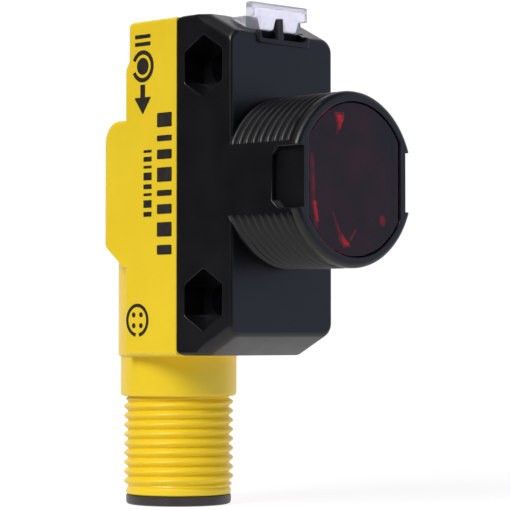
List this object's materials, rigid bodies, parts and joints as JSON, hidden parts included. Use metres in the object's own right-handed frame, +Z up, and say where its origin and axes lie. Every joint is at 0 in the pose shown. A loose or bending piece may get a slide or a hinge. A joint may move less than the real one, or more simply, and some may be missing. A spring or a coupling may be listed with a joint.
{
  "type": "photoelectric sensor",
  "caption": "Miniature photoelectric emitter: yellow and black housing, threaded round barrel with dark red window, clear indicator and a round threaded connector below.",
  "frame": {"origin": "on the lens axis, where it meets the flat front face of the housing, at the root of the threaded barrel", "axes": "light leaves along -Y through the barrel, X runs across the width, +Z is up and the connector points down along -Z"},
  "size_m": [0.0168, 0.0326, 0.0525],
  "materials": {
    "black_abs": "moulded black ABS, fine satin texture",
    "yellow_abs": "moulded safety-yellow ABS, satin",
    "red_acrylic": "dark red polished acrylic filter",
    "clear_polycarbonate": "clear polished polycarbonate",
    "clear_acrylic_lens": "clear polished acrylic",
    "black_nylon": "matt black nylon",
    "diode_epoxy": "tinted epoxy",
    "tinned_leads": "tinned copper",
    "circuit_board": "green solder mask",
    "green_led": "green diffused epoxy",
    "chip_black": "moulded epoxy package",
    "tantalum_case": "moulded amber case",
    "ceramic_tan": "fired ceramic",
    "resistor_black": "glazed resistive film",
    "dark_nylon": "moulded dark nylon",
    "gold_plate": "gold-plated brass",
    "brown_insulation": "brown PVC insulation",
    "blue_insulation": "blue PVC insulation",
    "potting_resin": "cast epoxy resin"
  },
  "bodies": {
    "root": {"front_housing": "black_abs", "rear_housing": "yellow_abs", "front_window": "red_acrylic", "indicator_window": "clear_polycarbonate", "indicator_baffle": "black_nylon", "lens_holder": "black_nylon", "collimating_lens": "clear_acrylic_lens", "emitter_led": "diode_epoxy", "led_leads": "tinned_leads", "main_board": "circuit_board", "power_led": "green_led", "driver_ic": "chip_black", "regulator_ic": "chip_black", "drive_transistor": "chip_black", "protection_diode": "chip_black", "bulk_capacitor": "tantalum_case", "chip_capacitors": "ceramic_tan", "chip_resistors": "resistor_black", "connector_insert": "dark_nylon", "contact_pin_1": "gold_plate", "contact_pin_2": "gold_plate", "contact_pin_3": "gold_plate", "contact_pin_4": "gold_plate", "lead_brown": "brown_insulation", "lead_blue": "blue_insulation", "connector_potting": "potting_resin"}
  },
  "joints": []
}
